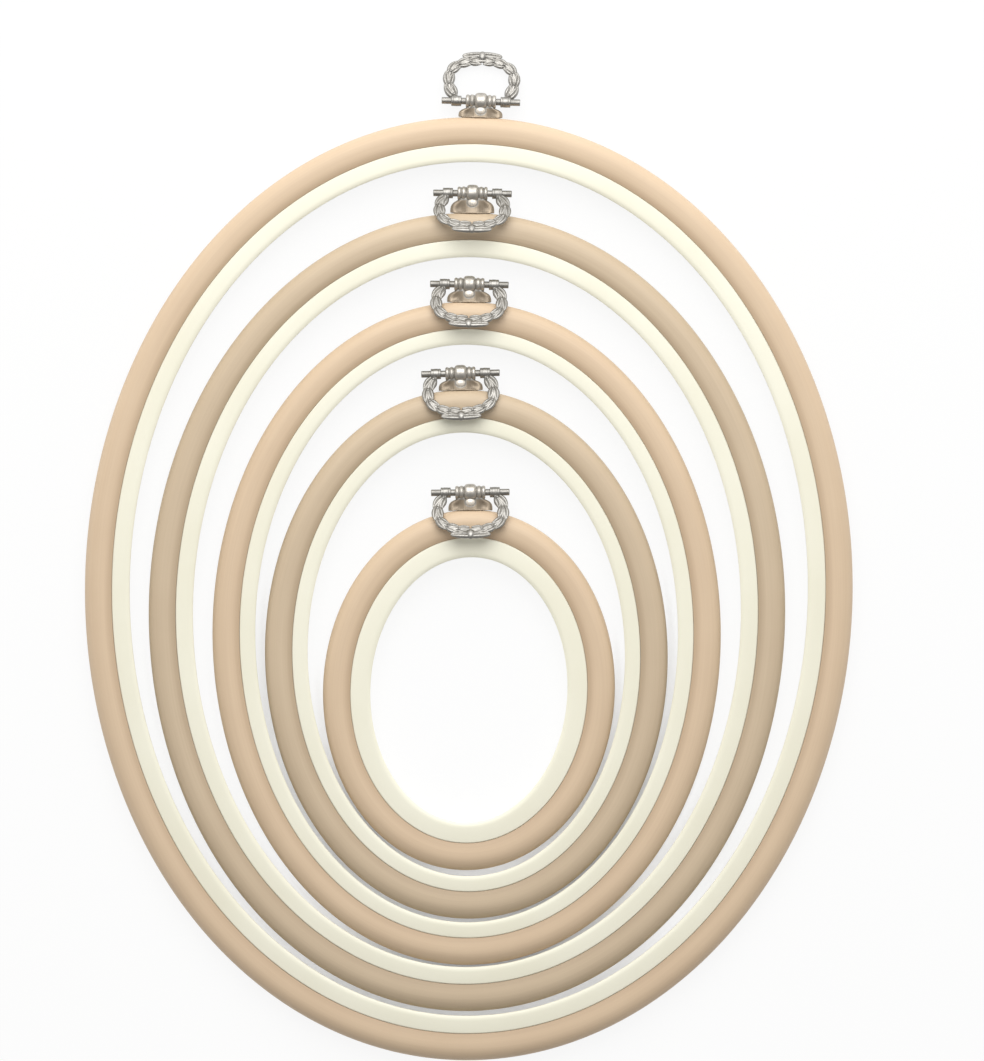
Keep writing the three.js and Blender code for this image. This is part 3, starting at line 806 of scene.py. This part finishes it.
def foot_and_neck(band_radius, stand_off):
    """The fan-shaped foot with two scooped wings, hollowed to the band, up to the knuckle."""
    turns = [2 * math.pi * step / FOOT_SIDES for step in range(FOOT_SIDES)]
    across_edge = BAND_WIDTH - CREST_FROM_SEAM

    def on_band(x, z):
        """How far the band's round edge lies from its crest at this place."""
        fall = across_edge * (1 - math.sqrt(1 - min(z / (BAND_HEIGHT / 2), 1) ** 2))
        return -fall - x**2 / 2 / band_radius

    rings = [[Vector((0, FOOT_CLEARANCE, 0))]]
    for share in SOLE_RINGS:
        half_width, half_height = share * FOOT_HALF_WIDTH, share * FOOT_HALF_HEIGHT
        places = [(half_width * math.cos(turn), half_height * math.sin(turn)) for turn in turns]
        rings.append([Vector((x, on_band(x, z) + FOOT_CLEARANCE, z)) for x, z in places])
    for step in range(FLARE_RINGS + 1):
        share = step / FLARE_RINGS
        half_width = FOOT_HALF_WIDTH - (FOOT_HALF_WIDTH - FOOT_TOP_HALF_WIDTH) * share**FLARE_CURVE
        thickness_left = (1 - share) ** THINNING_CURVE
        half_height = NECK_HALF_HEIGHT + (FOOT_HALF_HEIGHT - NECK_HALF_HEIGHT) * thickness_left
        scoop = SCOOP_DEPTH * math.sin(math.pi * min(1, SCOOP_LEAD + share))
        ring = []
        for turn in turns:
            x, z = half_width * math.cos(turn), half_height * math.sin(turn)
            wing = min(max((abs(x) / half_width - SCOOP_FROM) / (SCOOP_TO - SCOOP_FROM), 0), 1)
            z *= 1 - scoop * math.sin(math.pi * wing) ** 2
            saddle = stand_off - math.sqrt(NECK_END**2 - min(z**2, NECK_END**2))
            shoulder = min(abs(x) / FOOT_TOP_HALF_WIDTH, 1) ** SHOULDER_SQUARENESS
            top = saddle + (stand_off - SHOULDER_REACH - saddle) * shoulder
            low = on_band(x, z) * (1 - share) ** 2 + FOOT_EDGE
            ring.append(Vector((x, low + (top - FOOT_EDGE) * share, z)))
        rings.append(ring)
    rings.append([Vector((0, stand_off - NECK_END, 0))])
    return skinned(rings)


def paint_shade_and_highlight(mesh, stand_off):
    """Stores where light is painted on the lug: brown shade, with the tan band's reflection painted
    in, on the foot and its wings, and a painted highlight on the boss and a little on the knuckle."""
    painted_light = mesh.attributes.new("painted_light", "FLOAT", "POINT")
    for vertex, value in zip(mesh.vertices, painted_light.data):
        below = stand_off - vertex.co.y
        on_foot = min(max((below - PAINTED_SHADE_FROM_PIN) / PAINTED_SHADE_FADE, 0), 1)
        under_boss = (below - BOSS_FROM_PIN) / (BOSS[1] * MM)
        from_boss = math.hypot(vertex.co.x / (BOSS[0] * MM), under_boss)
        shade_and_highlight = min(max((from_boss - 1) / BOSS_FADE, -1), 1)
        value.value = on_foot * shade_and_highlight - (1 - on_foot) * KNUCKLE_HIGHLIGHT


HOLLOWS = hollows_tree()
silver = antique_silver()
for number in NUMBERS:
    half_width, half_height, middle = seam_of(number)
    band_radius = (half_width + BAND_WIDTH) ** 2 / (half_height + BAND_WIDTH)
    knuckle = bored(KNUCKLE, BORE)
    knuckle.transform(Matrix.Translation((0, STAND_OFFS[number], 0)))
    parts = [foot_and_neck(band_radius, STAND_OFFS[number]), knuckle]
    for face in (-1, 1):
        boss_middle = Vector((0, STAND_OFFS[number] - BOSS_FROM_PIN, face * BOSS_HEIGHT))
        parts.append(ball_mesh(BOSS, boss_middle / MM))
    lug = cast(joined_mesh(parts, f"lug_{number}"), f"cast_lug_{number}", silver)
    paint_shade_and_highlight(lug.data, STAND_OFFS[number])
    lug.data.transform(hanger_place(number))
    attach(lug, f"outer_{number}")
    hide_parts(f"hanger_lug_{number}")


# A steel screw holds each lug. Its round head sits in a hole bored into the band from the inside,
# so it is hidden while the hoop is closed, and its shank runs through the band into the lug.
HEAD_RADIUS = 2.2
HEAD_TOP = 8.5
HEAD_THICKNESS = 0.9
DOME = [(0, 0), (0.03, 0.9), (0.12, 1.5), (0.3, 2), (0.5, 2.2)]
SHANK_RADIUS = 0.9
SHANK_GRIP = 2.6
SHANK_CHAMFER = 0.3
SCREW_SIDES = 48
CUT_GAP = 0.25
CUT_MARGIN = 1
SLOT_WIDTH = 0.5 * MM
SLOT_DEPTH = 0.45 * MM
CRISP_EDGE = 30
STEEL = (0.56, 0.57, 0.58, 1)
STEEL_ROUGHNESS = (0.22, 0.48)
WEAR_SCALE = 900
WEAR_DETAIL = 4


def turned_about_y(profile, sides=SCREW_SIDES):
    """A piece turned about the Y axis, from points of (distance along, radius) in millimetres."""
    rings = []
    for along, radius in profile:
        turns = [2 * math.pi * step / sides for step in range(sides if radius else 1)]
        points = [(radius * math.cos(turn), along, radius * math.sin(turn)) for turn in turns]
        rings.append([Vector(point) * MM for point in points])
    return skinned(rings)


def cut_away(piece, cutter, sharpest=SHARP_EDGE):
    """Cuts one shape out of another and keeps the result as a plain mesh."""
    cutting = piece.modifiers.new("cut", "BOOLEAN")
    cutting.operation = "DIFFERENCE"
    cutting.solver = "EXACT"
    cutting.object = cutter
    finished(piece, sharpest)
    bpy.data.objects.remove(cutter)


def plated_steel():
    """Plated steel, unevenly dulled."""
    material, nodes, shader = new_material("plated steel")
    shader["Metallic"].default_value = 1
    shader["Base Color"].default_value = STEEL
    wear = noise(nodes, nodes.new("ShaderNodeTexCoord").outputs["Object"], WEAR_SCALE, WEAR_DETAIL)
    joined(nodes, (mapped(nodes, wear, (0, 1), STEEL_ROUGHNESS), shader["Roughness"]))
    return material


def slot_cutter():
    """A bar across the middle of the screw's head."""
    shape = bmesh.new()
    bmesh.ops.create_cube(shape, size=1)
    mesh = bpy.data.meshes.new("slot")
    shape.to_mesh(mesh)
    shape.free()
    mesh.transform(Matrix.Diagonal((3 * HEAD_RADIUS * MM, 2 * SLOT_DEPTH, SLOT_WIDTH, 1)))
    mesh.transform(Matrix.Translation((0, -HEAD_TOP * MM, 0)))
    return linked(mesh, "slot")


steel = plated_steel()
seat = -HEAD_TOP + HEAD_THICKNESS
hole = [(-HEAD_TOP - CUT_MARGIN, 0), (-HEAD_TOP - CUT_MARGIN, HEAD_RADIUS + CUT_GAP)]
hole += [(seat, HEAD_RADIUS + CUT_GAP), (seat, SHANK_RADIUS + CUT_GAP)]
hole += [(CUT_MARGIN, SHANK_RADIUS + CUT_GAP), (CUT_MARGIN, 0)]
screw_profile = [(-HEAD_TOP + along, radius) for along, radius in DOME]
screw_profile += [(seat, HEAD_RADIUS), (seat, SHANK_RADIUS)]
screw_profile += [(SHANK_GRIP - SHANK_CHAMFER, SHANK_RADIUS)]
screw_profile += [(SHANK_GRIP, SHANK_RADIUS - SHANK_CHAMFER), (SHANK_GRIP, 0)]
for number in NUMBERS:
    place = hanger_place(number)
    cutter = linked(turned_about_y(hole), "screw hole")
    cutter.data.transform(place)
    cut_away(bpy.data.objects[f"tan_band_{number}"], cutter)
    screw = linked(turned_about_y(screw_profile), f"steel_screw_{number}")
    cut_away(screw, slot_cutter(), CRISP_EDGE)
    screw.data.transform(place)
    screw.data.materials.append(steel)
    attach(screw, f"outer_{number}")
    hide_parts(f"hanger_screw_{number}")


# A straight silver pin passes through the knuckle and both eyes of the hanging ring, and is fast in
# the eyes, so it turns with the ring. Its ends are cut square with a small chamfer.
PIN_RADIUS = 1.1
PIN_HALF = 12.95
PIN_CHAMFER = 0.15
PIN_SIDES = 40


def ring_place(number):
    """The hanging ring's frame: X along the pin, Y to the crest, origin in the pin's middle."""
    place = hanger_place(number) @ Matrix.Translation((0, STAND_OFFS[number], 0))
    back = place.inverted()
    solid_ring = bpy.data.objects[f"hanger_ring_{number}"]
    corners = [back @ vertex.co for vertex in solid_ring.data.vertices]
    crest = max(corners, key=lambda corner: corner.length)
    return place @ Matrix.Rotation(math.atan2(crest.z, crest.y), 4, "X")


pin_end = [(PIN_HALF, 0), (PIN_HALF, PIN_RADIUS - PIN_CHAMFER)]
pin_end += [(PIN_HALF - PIN_CHAMFER, PIN_RADIUS)]
pin_profile = pin_end + [(-along, radius) for along, radius in reversed(pin_end)]
for number in NUMBERS:
    rings = []
    for along, radius in pin_profile:
        rings.append(around(along * MM, radius * MM, PIN_SIDES if radius else 1))
    pin = linked(shown_smooth(skinned(rings), CRISP_EDGE), f"silver_pin_{number}")
    pin.data.materials.append(silver)
    pin.data.transform(ring_place(number))
    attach(pin, f"ring_{number}")
    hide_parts(f"hanger_pin_{number}")


# The hanging ring is a flat oval wreath, cast in one piece with two eyes for the pin. Pairs of
# laurel leaves with a berry between them climb from both eyes and grow smaller towards two crest
# leaves and their knot.
RING_HALF_WIDTH = 10.8
RING_HALF_HEIGHT = 6.9
RING_LOW_HALF_HEIGHT = 7.6
RING_RISE = 7.4
RING_FULLNESS = 2.5
EYE = [(0, 1.78), (0.7, 1.76), (0.95, 1.66), (1.2, 1.76), (1.5, 1.76), (1.7, 1.6), (1.7, 1.4)]
LEAVES_PER_SIDE = 5
LEAF_LENGTH = 5.4
LEAF_PITCH = 4.3
LEAF_HALF_WIDTH = 1.3
LEAF_THICKNESS = 0.95
LEAF_BLUNTNESS = 0.8
LEAF_WIDEST = 0.8
LEAF_THICKEST = 0.7
LEAF_THIN_ENDS = 0.35
LEAF_GROOVE_DEPTH = 0.45
LEAF_GROOVE_WIDTH = 0.22
LEAF_STEPS = 14
LEAF_SIDES = 20
LEAF_SPLAY = math.radians(11)
LEAF_ROOT = 0.5
BERRY = (0.7, 0.7, 1.1)
BERRY_RISE = 0.9
STEM_RADIUS = 0.75
STEM_SIDES = 20
TOP_SCALE = 0.72
CREST_RISE = 16.6
CREST_LENGTH = 7.4
CREST_HALF_WIDTH = 1.18
CREST_THICKNESS = 0.85
CREST_BLUNTNESS = 0.35
CREST_DROOP = 0.6
CREST_ROOT = 0.6
KNOT_HALF_WIDTH = 1.4
KNOT_THICKNESS = 1.1
PATH_POINTS = 120


def leaf_mesh(length, half_width, thickness, bluntness=LEAF_BLUNTNESS):
    """A leaf along Y from its root, rounded on both faces, with a groove along its middle. In
    millimetres. The lower its bluntness value, the squarer its ends."""
    rings = [[Vector((0, 0, 0))]]
    for step in range(1, LEAF_STEPS):
        share = step / LEAF_STEPS
        width = half_width * math.sin(math.pi * share**LEAF_WIDEST) ** bluntness
        swell = math.sin(math.pi * share**LEAF_THICKEST)
        deep = thickness * (LEAF_THIN_ENDS + (1 - LEAF_THIN_ENDS) * swell)
        ring = []
        for side in range(LEAF_SIDES):
            turn = 2 * math.pi * side / LEAF_SIDES
            x = math.cos(turn)
            groove = 1 - LEAF_GROOVE_DEPTH * math.exp(-((x / LEAF_GROOVE_WIDTH) ** 2))
            ring.append(Vector((width * x, length * share, deep * math.sin(turn) * groove)) * MM)
        rings.append(ring)
    rings.append([Vector((0, length * MM, 0))])
    return skinned(rings)


def leaf_pair():
    """Two leaves that splay from one root, with a berry on each face."""
    parts = []
    for side in (-1, 1):
        leaf = leaf_mesh(LEAF_LENGTH, LEAF_HALF_WIDTH, LEAF_THICKNESS)
        leaf.transform(Matrix.Rotation(-side * LEAF_SPLAY, 4, "Z"))
        leaf.transform(Matrix.Translation((side * LEAF_ROOT * MM, 0, 0)))
        parts.append(leaf)
    parts.append(ball_mesh(BERRY, (0, BERRY_RISE, 0)))
    return linked(joined_mesh(parts, "leaf pair"), "leaf pair")


def ring_point(turn):
    """A point of the ring's oval centre line, in millimetres. Its power makes fuller corners."""
    across = math.copysign(abs(math.cos(turn)) ** (2 / RING_FULLNESS), math.cos(turn))
    along = math.copysign(abs(math.sin(turn)) ** (2 / RING_FULLNESS), math.sin(turn))
    half_height = RING_LOW_HALF_HEIGHT if along < 0 else RING_HALF_HEIGHT
    return Vector((RING_HALF_WIDTH * across, RING_RISE + half_height * along))


def wreath_path(start):
    """The centre line of the ring's right half, from its eye to the top, as an open curve."""
    curve = bpy.data.curves.new("wreath path", "CURVE")
    curve.dimensions = "3D"
    spline = curve.splines.new("POLY")
    spline.points.add(PATH_POINTS - 1)
    for step, place in enumerate(spline.points):
        turn = start + (math.pi / 2 - start) * step / (PATH_POINTS - 1)
        place.co = (*(ring_point(turn) * MM), 0, 1)
    return linked(curve, "wreath path")


def wreath_tree():
    """Lays leaf pairs of falling size along a path, on a tapered stem, and mirrors them."""
    kinds = {
        "Path": "Object",
        "Leaves": "Object",
        "Count": "Int",
        "Pitch": "Float",
        "Length": "Float",
        "End Scale": "Float",
        "Stem Radius": "Float",
        "Material": "Material",
    }
    tree, given, result = geometry_tree("wreath", kinds)
    nodes = tree.nodes

    def sums(operation, first, second):
        """A sum of two values in this tree."""
        return worked_out(nodes, operation, first, second)

    path = nodes.new("GeometryNodeObjectInfo")
    leaves = nodes.new("GeometryNodeObjectInfo")
    step = nodes.new("ShaderNodeCombineXYZ")
    row = nodes.new("GeometryNodeMeshLine")
    on_row = nodes.new("GeometryNodeInstanceOnPoints")
    laid_out = nodes.new("GeometryNodeRealizeInstances")
    place = nodes.new("GeometryNodeInputPosition")
    flat = nodes.new("ShaderNodeSeparateXYZ")
    joined(
        nodes,
        (given["Path"], path.inputs["Object"]),
        (given["Leaves"], leaves.inputs["Object"]),
        (given["Pitch"], step.inputs["Y"]),
        (given["Count"], row.inputs["Count"]),
        (step.outputs["Vector"], row.inputs["Offset"]),
        (row.outputs["Mesh"], on_row.inputs["Points"]),
        (leaves.outputs["Geometry"], on_row.inputs["Instance"]),
        (on_row.outputs["Instances"], laid_out.inputs["Geometry"]),
        (place.outputs["Position"], flat.inputs["Vector"]),
    )
    to_last_root = sums("MULTIPLY", sums("SUBTRACT", given["Count"], 1), given["Pitch"])
    row_length = sums("ADD", to_last_root, given["Length"])
    size = sums("POWER", given["End Scale"], sums("DIVIDE", flat.outputs["Y"], row_length))
    share = sums("DIVIDE", sums("SUBTRACT", 1, size), sums("SUBTRACT", 1, given["End Scale"]))
    along = nodes.new("GeometryNodeSampleCurve")
    along.mode = "FACTOR"
    heading = nodes.new("ShaderNodeSeparateXYZ")
    joined(
        nodes,
        (path.outputs["Geometry"], along.inputs["Curves"]),
        (share, along.inputs["Factor"]),
        (along.outputs["Tangent"], heading.inputs["Vector"]),
    )
    outward = sums("MULTIPLY", flat.outputs["X"], size)
    offset = nodes.new("ShaderNodeCombineXYZ")
    bent = nodes.new("ShaderNodeVectorMath")
    moved = nodes.new("GeometryNodeSetPosition")
    ring = nodes.new("GeometryNodeCurvePrimitiveCircle")
    ring.inputs["Resolution"].default_value = STEM_SIDES
    on_stem = nodes.new("GeometryNodeSplineParameter")
    thinner = nodes.new("ShaderNodeMapRange")
    thinner.inputs["To Min"].default_value = 1
    stem = nodes.new("GeometryNodeCurveToMesh")
    stem.inputs["Fill Caps"].default_value = True
    half = nodes.new("GeometryNodeJoinGeometry")
    mirror = nodes.new("GeometryNodeTransform")
    mirror.inputs["Scale"].default_value = (-1, 1, 1)
    outside = nodes.new("GeometryNodeFlipFaces")
    both = nodes.new("GeometryNodeJoinGeometry")
    plain = nodes.new("GeometryNodeRealizeInstances")
    finish = nodes.new("GeometryNodeSetMaterial")
    joined(
        nodes,
        (sums("MULTIPLY", outward, heading.outputs["Y"]), offset.inputs["X"]),
        (sums("MULTIPLY", sums("MULTIPLY", outward, heading.outputs["X"]), -1), offset.inputs["Y"]),
        (sums("MULTIPLY", flat.outputs["Z"], size), offset.inputs["Z"]),
        (along.outputs["Position"], bent.inputs[0]),
        (offset.outputs["Vector"], bent.inputs[1]),
        (laid_out.outputs["Geometry"], moved.inputs["Geometry"]),
        (bent.outputs["Vector"], moved.inputs["Position"]),
        (given["Stem Radius"], ring.inputs["Radius"]),
        (on_stem.outputs["Factor"], thinner.inputs["Value"]),
        (given["End Scale"], thinner.inputs["To Max"]),
        (path.outputs["Geometry"], stem.inputs["Curve"]),
        (ring.outputs["Curve"], stem.inputs["Profile Curve"]),
        (thinner.outputs["Result"], stem.inputs["Scale"]),
        (stem.outputs["Mesh"], half.inputs["Geometry"]),
        (moved.outputs["Geometry"], half.inputs["Geometry"]),
        (half.outputs["Geometry"], mirror.inputs["Geometry"]),
        (mirror.outputs["Geometry"], outside.inputs["Mesh"]),
        (half.outputs["Geometry"], both.inputs["Geometry"]),
        (outside.outputs["Mesh"], both.inputs["Geometry"]),
        (both.outputs["Geometry"], plain.inputs["Geometry"]),
        (plain.outputs["Geometry"], finish.inputs["Geometry"]),
        (given["Material"], finish.inputs["Material"]),
        (finish.outputs["Geometry"], result["Geometry"]),
    )
    return tree


eye_middle = (BORE / MM + EYE[0][1]) / 2
low_share = (RING_RISE - eye_middle) / RING_LOW_HALF_HEIGHT
ring_start = -math.asin(low_share ** (RING_FULLNESS / 2))
leaves = leaf_pair()
path = wreath_path(ring_start)
wreath = made_by(
    wreath_tree(),
    linked(bpy.data.meshes.new("wreath"), "wreath"),
    SHARP_EDGE,
    path=path,
    leaves=leaves,
    count=LEAVES_PER_SIDE,
    pitch=LEAF_PITCH * MM,
    length=LEAF_LENGTH * MM,
    end_scale=TOP_SCALE,
    stem_radius=STEM_RADIUS * MM,
    material=silver,
)
ring_parts = [wreath.data]
crest_turn = math.pi / 2 + math.atan2(CREST_DROOP, CREST_LENGTH)
for side in (-1, 1):
    eye = bored(EYE, BORE)
    eye.transform(Matrix.Translation((side * ring_point(ring_start).x * MM, 0, 0)))
    ring_parts.append(eye)
    crest_leaf = leaf_mesh(CREST_LENGTH, CREST_HALF_WIDTH, CREST_THICKNESS, CREST_BLUNTNESS)
    crest_leaf.transform(Matrix.Rotation(-side * crest_turn, 4, "Z"))
    crest_leaf.transform(Matrix.Translation((-side * CREST_ROOT * MM, CREST_RISE * MM, 0)))
    ring_parts.append(crest_leaf)
knot_low = RING_RISE + RING_HALF_HEIGHT
knot_high = CREST_RISE + CREST_HALF_WIDTH
knot = (KNOT_HALF_WIDTH, (knot_high - knot_low) / 2, KNOT_THICKNESS)
ring_parts.append(ball_mesh(knot, (0, (knot_high + knot_low) / 2, 0)))
bpy.data.objects.remove(wreath)
for used in (leaves, path):
    bpy.data.objects.remove(used)
whole_ring = cast(joined_mesh(ring_parts, "ring"), "ring pattern", silver)
for number in NUMBERS:
    ring = linked(whole_ring.data.copy(), f"silver_ring_{number}")
    ring.data.transform(ring_place(number))
    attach(ring, f"ring_{number}")
    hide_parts(f"hanger_ring_{number}")
bpy.data.objects.remove(whole_ring)
